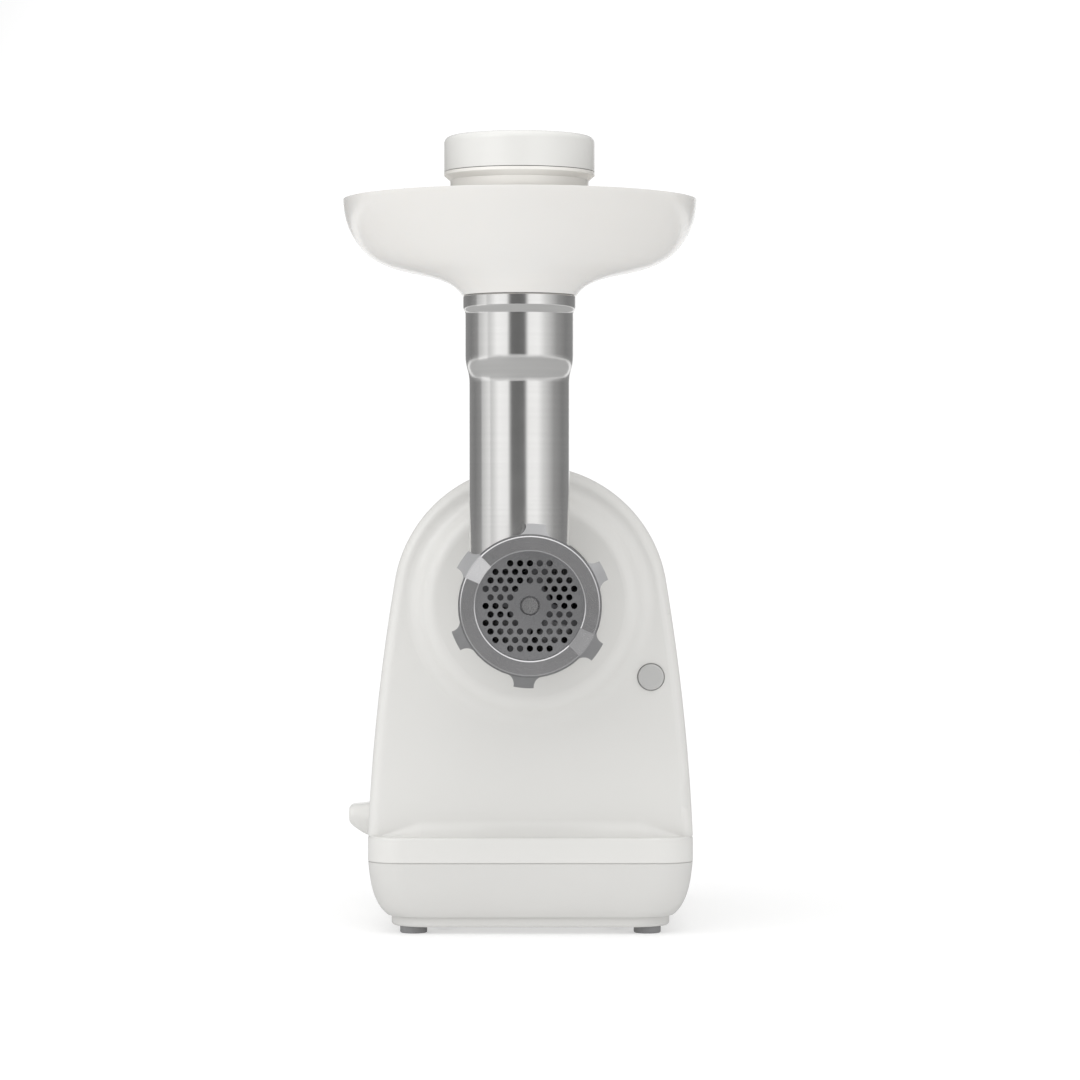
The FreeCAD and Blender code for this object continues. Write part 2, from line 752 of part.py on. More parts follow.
def make_disc():
    plate = rod_y(disc_r, *disc_y)
    holes = [
        rod_y(pin_r + running_gap, disc_y[0] - 1, disc_y[1] + 1),
        cone_y(pin_r + 0.5, pin_r + running_gap, disc_y[0], disc_y[0] + 0.5),
    ]
    for row in range(-5, 6):
        shift = 0.5 if row % 2 == 0 else 0.0
        for col in range(-6, 7):
            dx = (col + shift) * hole_pitch
            dz = row * hole_pitch * math.sqrt(0.75)
            reach = math.hypot(dx, dz) / hole_pitch
            if 2.0 < reach < 5.0:
                holes.append(rod_y(hole_r, disc_y[0] - 1, disc_y[1] + 1, head_x + dx, head_z + dz))
    notch = box(head_x - 1.5, head_x + 1.5, disc_y[0] - 1, disc_y[1] + 1, head_z - 28, head_z - 25.0)
    save(plate.cut(holes + [notch]), "grinding_disc")


def nut_slope_y(r):
    """Front surface shared by the lugs and the two slots, falling away outwards."""
    return nut_front_y + nut_slot_depth + (r - nut_lip_r) * nut_slope


def nut_lug():
    """Grip lug with hollow flanks, pointing up; its front face falls away outwards."""
    root_r = nut_base_r - 1.4
    root = nut_lug_root
    tip = nut_lug_half_w
    corners = [V(-root, 0, root_r - 1.6), V(-root, 0, root_r), V(-tip, 0, nut_lug_r)]
    corners += [V(-p.x, 0, p.z) for p in reversed(corners)]
    flank = 1.5
    left_mid = V(-(root + tip) / 2 + flank, 0, (root_r + nut_lug_r) / 2 - flank)
    right_mid = V(-left_mid.x, 0, left_mid.z)
    edges = [
        Part.LineSegment(corners[0], corners[1]).toShape(),
        Part.Arc(corners[1], left_mid, corners[2]).toShape(),
        Part.LineSegment(corners[2], corners[3]).toShape(),
        Part.Arc(corners[3], right_mid, corners[4]).toShape(),
        Part.LineSegment(corners[4], corners[5]).toShape(),
        Part.LineSegment(corners[5], corners[0]).toShape(),
    ]
    lug_front_y = nut_slope_y(nut_base_r - 0.6)
    slope_end_y = nut_slope_y(nut_lug_r)
    lug = Part.Face(Part.Wire(edges)).extrude(V(0, nut_back_y - lug_front_y, 0))
    lug.translate(V(head_x, lug_front_y, head_z))
    limit = fuse(
        cone_y(nut_base_r - 0.6, nut_lug_r, lug_front_y, slope_end_y),
        rod_y(nut_lug_r, slope_end_y, nut_back_y - 0.8),
        cone_y(nut_lug_r, nut_lug_r - 0.8, nut_back_y - 0.8, nut_back_y),
    )
    return lug.common(limit)


def make_nut():
    edge_w, edge_depth = nut_edge
    edge_y = nut_front_y + edge_depth
    nut = fuse(
        cone_y(nut_collar_r - edge_w, nut_collar_r, nut_front_y, edge_y),
        rod_y(nut_collar_r, edge_y, nut_base_y),
        rod_y(nut_base_r, nut_base_y, nut_back_y),
        *around_y(nut_lug(), nut_lug_count),
    )
    kept = cone_y(0.0, 42.0, nut_slope_y(0.0), nut_slope_y(42.0))
    wedges = [sector(40, nut_lip_r - 2, nut_front_y - 1, nut_lip_y, nut_slot_deg, mid) for mid in (-60, 120)]
    slots = [wedge.cut(kept) for wedge in wedges]
    bore = fuse(
        cone_y(nut_lip_r + edge_w, nut_lip_r, nut_front_y, edge_y),
        rod_y(nut_lip_r, edge_y, nut_lip_y + 1),
        rod_y(nut_bore_r, nut_lip_y, nut_back_y + 1),
    )
    nut = nut.cut(slots).cut(bore)
    save(turned(nut, nut_turn_deg), "ring_nut")


# ---- tray and pusher ----------------------------------------------------------------------------------------


def tray_circle(half, z, pull, lift):
    """Level circle of the tray; every circle touches the same nearly upright front line."""
    z_low = tray_profile[0][0]
    z_high = tray_profile[-1][0]
    t = (z - z_low) / (z_high - z_low)
    y_front = tray_front_y[0] + t * (tray_front_y[1] - tray_front_y[0])
    r = half - pull
    return Part.Wire(Part.makeCircle(r, V(0, y_front + half, z + lift), Z_AXIS))


def make_tray():
    outer = Part.makeLoft([tray_circle(half, z, 0, 0) for z, half in tray_profile], True, False)
    inner_wires = []
    for i, (z, half) in enumerate(tray_profile[1:], start=1):
        below = tray_profile[i - 1]
        above = tray_profile[min(i + 1, len(tray_profile) - 1)]
        run = above[1] - below[1]
        rise = above[0] - below[0]
        size = math.hypot(run, rise)
        pull = tray_wall * rise / size
        lift = tray_wall * run / size
        inner_wires.append(tray_circle(half, z, pull, lift))
    top_z, top_half = tray_profile[-1]
    inner_wires[-1] = tray_circle(top_half, top_z, tray_wall, 1.0)
    inner = Part.makeLoft(inner_wires, True, False)
    neck = rod_z(tray_neck_r, tray_neck_z, tray_profile[1][0])
    bore = rod_z(tray_neck_bore_r, tray_neck_z - 1, tray_profile[2][0])
    tray = outer.fuse([neck]).cut([inner, bore])
    save(tray, "tray")


def make_pusher():
    bore_r = pusher_r - 2.0
    floor_z = pusher_bottom_z + 2.5
    outline = [
        (0, pusher_bottom_z),
        (pusher_r - 1.5, pusher_bottom_z),
        (pusher_r, pusher_bottom_z + 1.5),
        (pusher_r, cup_z[0]),
        (cup_neck_r[0] - 1.0, cup_z[0]),
        (cup_neck_r[0], cup_z[0] + 1.0),
        (cup_neck_r[1], cup_z[1]),
        (cup_r, cup_z[2]),
        (cup_r, cup_z[3]),
        (cup_neck_r[1] - cup_wall, cup_z[3]),
        (cup_neck_r[0] - cup_wall, cup_z[0] + cup_wall),
        (bore_r, cup_z[0] + cup_wall),
        (bore_r, floor_z),
        (0, floor_z),
    ]
    save(revolve_z(outline), "pusher")

    lid = rod_z(cup_r, *lid_z)
    lid = lid.makeFillet(lid_edge_r, edges_at(lid, lambda p: abs(p.z - lid_z[1]) < 0.01))
    hollow = rod_z(cup_r - 2.4, lid_z[0] - 1, lid_z[1] - 2.4)
    save(lid.cut(hollow), "pusher_lid")


# ---- switch -------------------------------------------------------------------------------------------------


def grip_section(x, length, height, lift):
    """Oblong with round ends, in the YZ plane."""
    r = height / 2
    k = length / 2 - r
    z = knob_z + lift
    a = V(x, knob_y - k, z - r)
    b = V(x, knob_y + k, z - r)
    c = V(x, knob_y + k, z + r)
    d = V(x, knob_y - k, z + r)
    edges = [
        Part.LineSegment(a, b).toShape(),
        Part.Arc(b, V(x, knob_y + k + r, z), c).toShape(),
        Part.LineSegment(c, d).toShape(),
        Part.Arc(d, V(x, knob_y - k - r, z), a).toShape(),
    ]
    return Part.Wire(edges)


def make_switch():
    steps = (
        (knob_face_x + 0.6, 26.0, 15.0, 0.0),
        (knob_face_x - 3.5, 25.0, 14.4, 0.2),
        (knob_face_x - 8.0, 23.0, 11.0, 1.4),
        (knob_face_x - 11.0, 20.0, 6.6, 2.4),
        (knob_tip_x, 17.0, 2.8, 2.2),
    )
    grip = Part.makeLoft([grip_section(*step) for step in steps], True, False)
    disc = Part.makeCylinder(knob_disc_r, 2.6, V(knob_face_x, knob_y, knob_z), X_AXIS)
    stem = Part.makeCylinder(3.0, 8.0, V(knob_face_x + 2, knob_y, knob_z), X_AXIS)
    save(fuse(grip, disc, stem), "switch_knob")

    body = box(-63.5, -40.0, knob_y - 13, knob_y + 13, knob_z - 13, knob_z + 13)
    bore = Part.makeCylinder(3.0 + running_gap, 8.0, V(-64.0, knob_y, knob_z), X_AXIS)
    tabs = [box(-40.5, -34.0, knob_y + s - 3, knob_y + s + 3, knob_z - 0.4, knob_z + 0.4) for s in (-7, 0, 7)]
    save(fuse(body, *tabs).cut(bore), "rotary_switch")


# ---- gear train ---------------------------------------------------------------------------------------------


def stage_distance(stage):
    pinion, gear, module = stage
    return module * (pinion + gear) / 2 + mesh_gap


def gear_centres():
    """Axes of the motor, the first gear, the second gear and the spindle, as (x, z)."""
    spindle = (head_x, head_z)
    motor = (head_x, motor_z)
    a = math.radians(gear_angle_deg)
    reach = stage_distance(third_stage)
    second = (spindle[0] + reach * math.sin(a), spindle[1] - reach * math.cos(a))
    r1 = stage_distance(first_stage)
    r2 = stage_distance(second_stage)
    dx = second[0] - motor[0]
    dz = second[1] - motor[1]
    d = math.hypot(dx, dz)
    along = (r1 * r1 - r2 * r2 + d * d) / (2 * d)
    across = math.sqrt(r1 * r1 - along * along)
    first = (
        motor[0] + (along * dx - across * dz) / d,
        motor[1] + (along * dz + across * dx) / d,
    )
    return motor, first, second, spindle


def direction(a, b):
    return math.atan2(b[1] - a[1], b[0] - a[0])


def gear_blank(teeth, module, centre, y0, y1, angle, tooth_there):
    """Spur gear with arc-shaped flanks; a tooth, or a gap, lies at the given angle in the XZ plane."""
    pitch_r = module * teeth / 2
    base_r = pitch_r * math.cos(math.radians(pressure_deg))
    tip_r = pitch_r + addendum * module
    root_r = pitch_r - dedendum * module
    pressure = math.radians(pressure_deg)
    inv_pitch = math.tan(pressure) - pressure
    half_tooth = math.pi / (2 * teeth) - 0.06 / teeth
    if not tooth_there:
        angle += math.pi / teeth

    def flank(r):
        r = max(r, base_r)
        a = math.acos(base_r / r)
        return half_tooth + inv_pitch - (math.tan(a) - a)

    def at(r, a):
        return V(centre[0] + r * math.cos(a), y0, centre[1] + r * math.sin(a))

    low_r = max(root_r, base_r)
    mid_r = (low_r + tip_r) / 2
    edges = []
    for i in range(teeth):
        mid = angle + 2 * math.pi * i / teeth
        after = mid + 2 * math.pi / teeth
        up = [at(low_r, mid - flank(low_r)), at(mid_r, mid - flank(mid_r)), at(tip_r, mid - flank(tip_r))]
        down = [at(tip_r, mid + flank(tip_r)), at(mid_r, mid + flank(mid_r)), at(low_r, mid + flank(low_r))]
        if root_r < low_r:
            edges.append(Part.LineSegment(at(root_r, mid - flank(low_r)), up[0]).toShape())
        edges.append(Part.Arc(*up).toShape())
        edges.append(Part.Arc(up[2], at(tip_r, mid), down[0]).toShape())
        edges.append(Part.Arc(*down).toShape())
        if root_r < low_r:
            edges.append(Part.LineSegment(down[2], at(root_r, mid + flank(low_r))).toShape())
        start = at(root_r, mid + flank(low_r))
        end = at(root_r, after - flank(low_r))
        half_gap = (mid + after) / 2
        edges.append(Part.Arc(start, at(root_r, half_gap), end).toShape())
    return Part.Face(Part.Wire(edges)).extrude(V(0, y1 - y0, 0))


first_y = (0.0, 7.0)
second_y = (-12.0, -2.0)
third_y = (-28.0, -15.0)


def make_gears():
    motor, first, second, spindle = gear_centres()
    out = direction(motor, first)
    teeth, mate, module = first_stage
    pinion = gear_blank(teeth, module, motor, first_y[0] - 1, first_y[1] + 1, out, True)
    save(pinion.cut(rod_y(motor_shaft_r - 0.5, -10, 20, *motor)), "motor_pinion")
    big = gear_blank(mate, module, first, *first_y, out + math.pi, False)
    rings = tube_along_y(22.0, 9.5, first_y[0] - 1, first_y[0] + 2.0, *first)
    out = direction(first, second)
    teeth, mate, module = second_stage
    small = gear_blank(teeth, module, first, second_y[0] - 1, first_y[0] + 0.5, out, True)
    gear = fuse(big.cut(rings), small).cut(rod_y(gear_pin_r + running_gap, -60, 60, *first))
    save(gear, "first_gear")
    big = gear_blank(mate, module, second, *second_y, out + math.pi, False)
    rings = tube_along_y(23.5, 12.0, second_y[1] - 2.5, second_y[1] + 1, *second)
    out = direction(second, spindle)
    teeth, mate, module = third_stage
    small = gear_blank(teeth, module, second, third_y[0] - 1, second_y[0] + 0.5, out, True)
    gear = fuse(big.cut(rings), small).cut(rod_y(gear_pin_r + running_gap, -60, 60, *second))
    save(gear, "second_gear")
    big = gear_blank(mate, module, spindle, *third_y, out + math.pi, False)
    rings = tube_along_y(28.5, 15.5, third_y[1] - 3.5, third_y[1] + 1, *spindle)
    save(big.cut([rings, rod_y(spindle_r, -60, 60, *spindle)]), "output_gear")

    pins = [rod_y(gear_pin_r, plate_y[0] + 1, cover_y[1] - 1, *centre) for centre in (first, second)]
    save(Part.makeCompound(pins), "gear_pins")

    half = drive_square_w / 2 + 0.15
    shaft = fuse(rod_y(spindle_r, -40.0, -13.5), rod_y(6.0, -13.5, cover_y[1] - 1.5))
    socket = box(head_x - half, head_x + half, -41, -22, head_z - half, head_z + half)
    save(shaft.cut(socket), "drive_spindle")
    save(tube_along_y(17.0, spindle_r + running_gap, plate_y[0], -30.5), "front_bearing")
    save(tube_along_y(9.5, 6.0 + running_gap, cover_y[1] - 9.0, cover_y[1] - 3.0), "spindle_bush")


def gearbox_prism(inset, y0, y1):
    return upright_block(
        head_x - gearbox_half + inset,
        head_x + gearbox_half - inset,
        gearbox_z[0] + inset,
        gearbox_z[1] - inset,
        gearbox_corner_r - inset,
        y0,
        y1,
    )


def gearbox_screw_points():
    x0 = gearbox_half - 4.5
    return [(head_x + side * x0, z) for side in (-1, 1) for z in (96.0, 140.0)] + [
        (head_x + side * 22, gearbox_z[0] + 4.5) for side in (-1, 1)
    ]


def make_gearbox():
    motor, first, second, spindle = gear_centres()
    ear = rod_y(8.0, *plate_y, head_x + button_dx - 1.5, button_z)
    plate = fuse(gearbox_prism(0, *plate_y), ear, rod_y(20.0, plate_y[0], -29.5))
    pockets = [rod_y(gear_pin_r, plate_y[0] + 1, plate_y[1] + 1, *c) for c in (first, second)]
    plate = plate.cut(pockets + [rod_y(spindle_r + 0.6, -50, -20), rod_y(17.0, plate_y[0], -30.5)])
    plate = plate.cut(rod_y(15.0, -45, plate_y[0] + 0.5))

    cover = gearbox_prism(0, *cover_y).cut(gearbox_prism(wall, cover_y[0] - 1, cover_y[1] - 3))
    cover = fuse(
        cover,
        rod_y(14.0, cover_y[1] - 3, cover_y[1] + 7.5, *motor),
        rod_y(12.0, cover_y[1] - 9.5, cover_y[1] - 3),
        *[rod_y(6.5, cover_y[1] - 4.5, cover_y[1] - 3, *c) for c in (first, second)],
    )
    for x, z in gearbox_screw_points():
        cover = cover.fuse(rod_y(4.0, *cover_y, x, z).common(gearbox_prism(0, *cover_y)))
    cover = cover.cut(
        [
            rod_y(bearing_r, cover_y[1] + 0.5, cover_y[1] + 8, *motor),
            rod_y(9.0, cover_y[1] - 4, cover_y[1] + 2, *motor),
            rod_y(9.5, cover_y[1] - 9.0, cover_y[1] - 3.0),
            rod_y(6.5, cover_y[1] - 10, cover_y[1] - 1.0),
        ]
        + [rod_y(gear_pin_r, cover_y[1] - 6, cover_y[1] - 1, *c) for c in (first, second)]
    )
    screws = []
    for x, z in gearbox_screw_points():
        hole = rod_y(1.4, cover_y[0] - 1, cover_y[0] + 12, x, z)
        cover = cover.cut(hole)
        plate = plate.cut(rod_y(1.7, plate_y[0] - 1, plate_y[1] + 1, x, z))
        shank = rod_y(1.4, plate_y[0], cover_y[0] + 11, x, z)
        head = rod_y(3.0, plate_y[0] - 2.0, plate_y[0], x, z)
        slot = box(x - 3.5, x + 3.5, plate_y[0] - 3, plate_y[0] - 1.2, z - 0.4, z + 0.4)
        screws.append(fuse(shank, head).cut(slot))
    save(plate, "gearbox_plate")
    save(cover.removeSplitter(), "gearbox_cover")
    save(Part.makeCompound(screws), "gearbox_screws")


# ---- motor --------------------------------------------------------------------------------------------------


def motor_sector(r_out, r_in, y0, y1, arc_deg, mid_deg):
    piece = sector(r_out, r_in, y0, y1, arc_deg, mid_deg)
    piece.translate(V(0, 0, motor_z - head_z))
    return piece


def make_motor():
    at = (head_x, motor_z)
    w, h = stator_size
    block = upright_block(at[0] - w / 2, at[0] + w / 2, at[1] - h / 2, at[1] + h / 2, 12.0, *stator_y)
    block = block.cut(rod_y(slot_ring_r, stator_y[0] - 1, stator_y[1] + 1, *at))
    poles = [motor_sector(slot_ring_r + 1, pole_r, *stator_y, 86.0, mid) for mid in (90, 270)]
    stator = fuse(block, *poles)
    bolt_points = [(at[0] + sx * 29.0, at[1] + sz * 26.0) for sx in (-1, 1) for sz in (-1, 1)]
    stator = stator.cut([rod_y(1.9, 0, 100, x, z) for x, z in bolt_points])
    save(stator, "stator_core")

    coils = []
    for mid in (90, 270):
        loop = motor_sector(slot_ring_r - 0.4, pole_r + 1.4, stator_y[0] - 9, stator_y[1] + 9, 142.0, mid)
        gap = motor_sector(slot_ring_r + 2, pole_r - 1, stator_y[0] - 1, stator_y[1] + 1, 90.0, mid)
        coils.append(loop.cut(gap))
    save(Part.makeCompound(coils), "stator_coils")

    shaft = rod_y(motor_shaft_r, 9.5, 116.0, *at)
    tip = rod_y(motor_shaft_r - 0.5, -2.0, 9.5, *at)
    save(fuse(shaft, tip), "motor_shaft")
    core = tube_along_y(rotor_r, motor_shaft_r, *stator_y, *at)
    slots = []
    for i in range(12):
        slot = box(-1.0, 1.0, stator_y[0] - 1, stator_y[1] + 1, rotor_r - 3, rotor_r + 1)
        slot.translate(V(at[0], 0, at[1]))
        slots.append(turned(slot, 30 * i, *at))
    save(core.cut(slots), "rotor_core")
    front = tube_along_y(16.5, motor_shaft_r, stator_y[0] - 7, stator_y[0], *at)
    back = tube_along_y(16.5, motor_shaft_r, stator_y[1], stator_y[1] + 8, *at)
    windings = [
        piece.makeFillet(2.5, [e for e in piece.Edges if e.Length > 90])
        for piece in (front, back)
    ]
    save(Part.makeCompound(windings), "rotor_windings")

    commutator = tube_along_y(commutator_r, motor_shaft_r, *commutator_y, *at)
    cuts = []
    for i in range(24):
        cut = box(-0.25, 0.25, commutator_y[0] - 1, commutator_y[1] + 1, commutator_r - 1.2, commutator_r + 1)
        cut.translate(V(at[0], 0, at[1]))
        cuts.append(turned(cut, 15 * i, *at))
    save(commutator.cut(cuts), "commutator")

    hub = tube_along_y(7.0, motor_shaft_r, 21.0, 29.0, *at)
    disc = tube_along_y(27.0, 6.0, 27.0, 28.4, *at)
    blades = []
    for i in range(9):
        blade = box(-0.8, 0.8, 21.5, 27.2, 6.0, 27.0)
        blade.rotate(V(0, 0, 14), Y_AXIS, 14)
        blade.translate(V(at[0], 0, at[1]))
        blades.append(turned(blade, 40 * i, *at))
    fan = fuse(hub, disc, *blades).common(rod_y(27.0, 20, 30, *at))
    save(fan, "motor_fan")

    bearings = []
    for y0, y1 in ((cover_y[1] + 0.5, cover_y[1] + 7.5), (106.0, 113.0)):
        bearings.append(tube_along_y(bearing_r, motor_shaft_r + running_gap, y0, y1, *at))
    save(Part.makeCompound(bearings), "motor_bearings")

    bell = fuse(
        rod_y(15.0, end_bell_y[0] - 3.5, end_bell_y[1], *at),
        box(at[0] - 34, at[0] + 34, end_bell_y[0], end_bell_y[1], at[1] - 10, at[1] + 10),
        *[
            box(at[0] + s * 31 - 5, at[0] + s * 31 + 5, stator_y[1], end_bell_y[1], at[1] - 31, at[1] + 31)
            for s in (-1, 1)
        ],
    )
    notch = box(at[0] - 40, at[0] + 40, stator_y[1] - 1, end_bell_y[0] - 3.5, at[1] - 21, at[1] + 21)
    bell = bell.cut([notch, rod_y(bearing_r, 106.0, 120, *at), rod_y(6.0, 100, 120, *at)])
    bell = bell.cut([rod_y(1.9, 70, 120, x, z) for x, z in bolt_points])
    save(bell, "motor_end_bell")

    bolts = []
    for x, z in bolt_points:
        bolts.append(fuse(rod_y(1.7, cover_y[1], end_bell_y[1], x, z), rod_y(3.2, 113.0, 115.2, x, z)))
    save(Part.makeCompound(bolts), "motor_bolts")

    holders = []
    brushes = []
    mid_y = sum(commutator_y) / 2
    for s in (-1, 1):
        start = commutator_r + 1.0
        holder = box(start, 26.0, mid_y - 4.2, mid_y + 4.2, -4.2, 4.2)
        arm = box(20.0, 26.0, mid_y, end_bell_y[0], -4.2, 4.2)
        holder = fuse(holder, arm).cut(box(start - 1, 24.5, mid_y - 3, mid_y + 3, -3, 3))
        brush = box(commutator_r + 0.3, 22.0, mid_y - 3, mid_y + 3, -3, 3)
        for piece, group in ((holder, holders), (brush, brushes)):
            piece.translate(V(at[0], 0, at[1]))
            group.append(turned(piece, 90 - 90 * s, *at))
    save(Part.makeCompound(holders), "brush_holders")
    save(Part.makeCompound(brushes), "carbon_brushes")


# ---- build --------------------------------------------------------------------------------------------------

make_housings()
make_base()
make_socket()
make_release()
make_head()
make_auger()
make_disc()
make_nut()
make_tray()
make_pusher()
make_switch()
make_gears()
make_gearbox()
make_motor()
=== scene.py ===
"""Looks of the electric meat grinder: camera, materials, floor and light."""

import json
import math

import bmesh
import bpy
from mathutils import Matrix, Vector

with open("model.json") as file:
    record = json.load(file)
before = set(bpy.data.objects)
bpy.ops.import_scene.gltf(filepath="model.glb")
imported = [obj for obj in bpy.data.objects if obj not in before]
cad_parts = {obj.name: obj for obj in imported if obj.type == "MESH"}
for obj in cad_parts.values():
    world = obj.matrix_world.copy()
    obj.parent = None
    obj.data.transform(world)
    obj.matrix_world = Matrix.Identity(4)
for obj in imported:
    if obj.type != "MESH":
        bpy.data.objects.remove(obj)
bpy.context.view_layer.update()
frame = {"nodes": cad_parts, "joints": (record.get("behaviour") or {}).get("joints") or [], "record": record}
nodes = frame["nodes"]
joints = {joint["name"]: joint for joint in frame["joints"]}

# ---- camera --------------------------------------------------------------------------------------

CAMERA_PLACE = (0.0092, -1.875, 0.1808)
CAMERA_LENS = 132.3  # mm
SENSOR = 36.0  # mm
CAMERA_CLIP = (0.05, 50)  # nearest and furthest that it sees, in metres
LEVEL = math.radians(90)  # turned this far about X, it looks along +Y


def make_camera():
    data = bpy.data.cameras.new("camera")
    data.lens = CAMERA_LENS
    data.sensor_width = SENSOR
    data.clip_start, data.clip_end = CAMERA_CLIP
    cam = bpy.data.objects.new("camera", data)
    cam.location = CAMERA_PLACE
    cam.rotation_euler = (LEVEL, 0, 0)
    bpy.context.scene.collection.objects.link(cam)
    bpy.context.scene.camera = cam


make_camera()

# ---- material building blocks --------------------------------------------------------------------

# noise scales in features per metre, largest features first
CLOUDS = 14
METAL_CLOUDS = 26
SMUDGES = 40
PATCHES = 55
WANDER = 60
PITS = 300
ORANGE_PEEL = 420
PLASTIC_GRAIN = 1400
MATTE_GRAIN = 1500
METAL_GRAIN = 1800
SAND = 2600

# fine lines of machined and wound pieces, as noise scales along X, Y and Z
LEVEL_RINGS = (4, 4, 900)
LENGTHWISE = (900, 6, 900)
ALL_WAYS = (600, 600, 600)
WINDING = (900, 60, 900)

LAMINATIONS = 320  # scale of the wave that draws the sheets of the motor's core


class Graph:
    """A short way to write a material's nodes; its coordinates are metres in the shared frame."""

    def __init__(self, name):
        self.material = bpy.data.materials.new(name)
        self.material.use_nodes = True
        self.tree = self.material.node_tree
        self.shader = self.tree.nodes["Principled BSDF"]
        self.coords = self.add("ShaderNodeTexCoord").outputs["Object"]

    def add(self, kind, **values):
        node = self.tree.nodes.new(kind)
        for key, value in values.items():
            setattr(node, key, value)
        return node

    def link(self, a, b):
        self.tree.links.new(a, b)

    def set(self, **values):
        for key, value in values.items():
            self.shader.inputs[key.replace("_", " ")].default_value = value

    def stretched(self, scale):
        node = self.add("ShaderNodeMapping")
        node.inputs["Scale"].default_value = scale
        self.link(self.coords, node.inputs["Vector"])
        return node.outputs["Vector"]

    def noise(self, scale, detail=4.0, rough=0.5, vector=None):
        node = self.add("ShaderNodeTexNoise")
        node.inputs["Scale"].default_value = scale
        node.inputs["Detail"].default_value = detail
        node.inputs["Roughness"].default_value = rough
        self.link(vector or self.coords, node.inputs["Vector"])
        return node.outputs["Fac"]

    def span(self, value, low, high, from_low=0.3, from_high=0.7):
        """Maps the usual reach of a noise, or the given one, on to low..high."""
        node = self.add("ShaderNodeMapRange")
        node.inputs["From Min"].default_value = from_low
        node.inputs["From Max"].default_value = from_high
        node.inputs["To Min"].default_value = low
        node.inputs["To Max"].default_value = high
        self.link(value, node.inputs["Value"])
        return node.outputs["Result"]

    def ramp(self, value, stops):
        """stops are (place, colour)."""
        node = self.add("ShaderNodeValToRGB")
        ramp = node.color_ramp
        while len(ramp.elements) < len(stops):
            ramp.elements.new(0.5)
        for element, (place, colour) in zip(ramp.elements, stops):
            element.position = place
            element.color = (*colour, 1)
        self.link(value, node.inputs["Fac"])
        return node.outputs["Color"]

    def mix(self, factor, a, b):
        node = self.add("ShaderNodeMix", data_type="RGBA")
        self.link(factor, node.inputs["Factor"])
        # a Mix node repeats its socket names for every data type, so its colours go by number
        for socket, value in ((node.inputs[6], a), (node.inputs[7], b)):
            if isinstance(value, tuple):
                socket.default_value = (*value, 1)
            else:
                self.link(value, socket)
        return node.outputs[2]

    def bump(self, *layers):
        """layers are (height, strength, distance in metres), one over the other."""
        normal = None
        for height, strength, distance in layers:
            node = self.add("ShaderNodeBump")
            node.inputs["Strength"].default_value = strength
            node.inputs["Distance"].default_value = distance
            self.link(height, node.inputs["Height"])
            if normal is not None:
                self.link(normal, node.inputs["Normal"])
            normal = node.outputs["Normal"]
        self.link(normal, self.shader.inputs["Normal"])

    def colour(self, socket):
        self.link(socket, self.shader.inputs["Base Color"])

    def rough(self, socket):
        self.link(socket, self.shader.inputs["Roughness"])


def scaled(colour, k):
    return tuple(min(1.0, c * k) for c in colour)


def shades(colour, down, up, places=(0.3, 0.7)):
    """Two stops of a ramp: the colour darker by the share down, then lighter by the share up."""
    return [(places[0], scaled(colour, 1 - down)), (places[1], scaled(colour, 1 + up))]


def moulded_plastic(name, colour, gloss=0.3, coat=0.25, peel=0.03, grain=0.012):
    """Injection moulded plastic: faint clouding, orange peel, and a roughness that wanders a little."""
    g = Graph(name)
    g.colour(g.ramp(g.noise(CLOUDS, 3), shades(colour, 0.012, 0.006)))
    g.rough(g.span(g.noise(WANDER, 5, 0.6), gloss - 0.012, gloss + 0.012))
    g.bump((g.noise(ORANGE_PEEL, 2), peel, 0.00006), (g.noise(PLASTIC_GRAIN, 2), grain, 0.00002))
    g.set(Coat_Weight=coat, Coat_Roughness=0.12, IOR=1.5)
    return g


def turned_metal(name, colour, rough, lines, streaks=0.06, grain=0.15):
    """Machined metal: fine lines one way, and a gloss that clouds softly across them."""
    g = Graph(name)
    fine = g.noise(1.0, 6, 0.65, g.stretched(lines))
    g.colour(g.ramp(fine, shades(colour, streaks, streaks, (0.25, 0.75))))
    g.rough(g.span(g.noise(METAL_CLOUDS, 4), rough - 0.03, rough + 0.05))
    g.bump((fine, grain, 0.00003), (g.noise(METAL_GRAIN, 3), 0.06, 0.00002))
    g.set(Metallic=1.0)
    return g


def sandy_bump(g, sand, grain):
    """The relief of a cast skin: sand of the given strength, over wider shallow pits."""
    g.bump((sand, grain, 0.00004), (g.noise(PITS, 3), 0.1, 0.00008))


def cast_metal(name, colour, rough, grain):
    """Die cast and tumbled metal: a fine sandy skin with soft patches."""
    g = Graph(name)
    sand = g.noise(SAND, 4, 0.7)
    g.colour(g.ramp(g.noise(PATCHES, 5, 0.6), shades(colour, 0.1, 0.08)))
    g.rough(g.span(sand, rough - 0.06, rough + 0.08))
    sandy_bump(g, sand, grain)
    g.set(Metallic=1.0)
    return g


ACROSS_NUT = (1, 0, 1)  # the nut turns about Y, so its radii have no Y
NUT_LUG_SHADE_FROM = (0.0304, 0.0312)  # radii in metres where the turned collar gives way to the lugs' painted shade
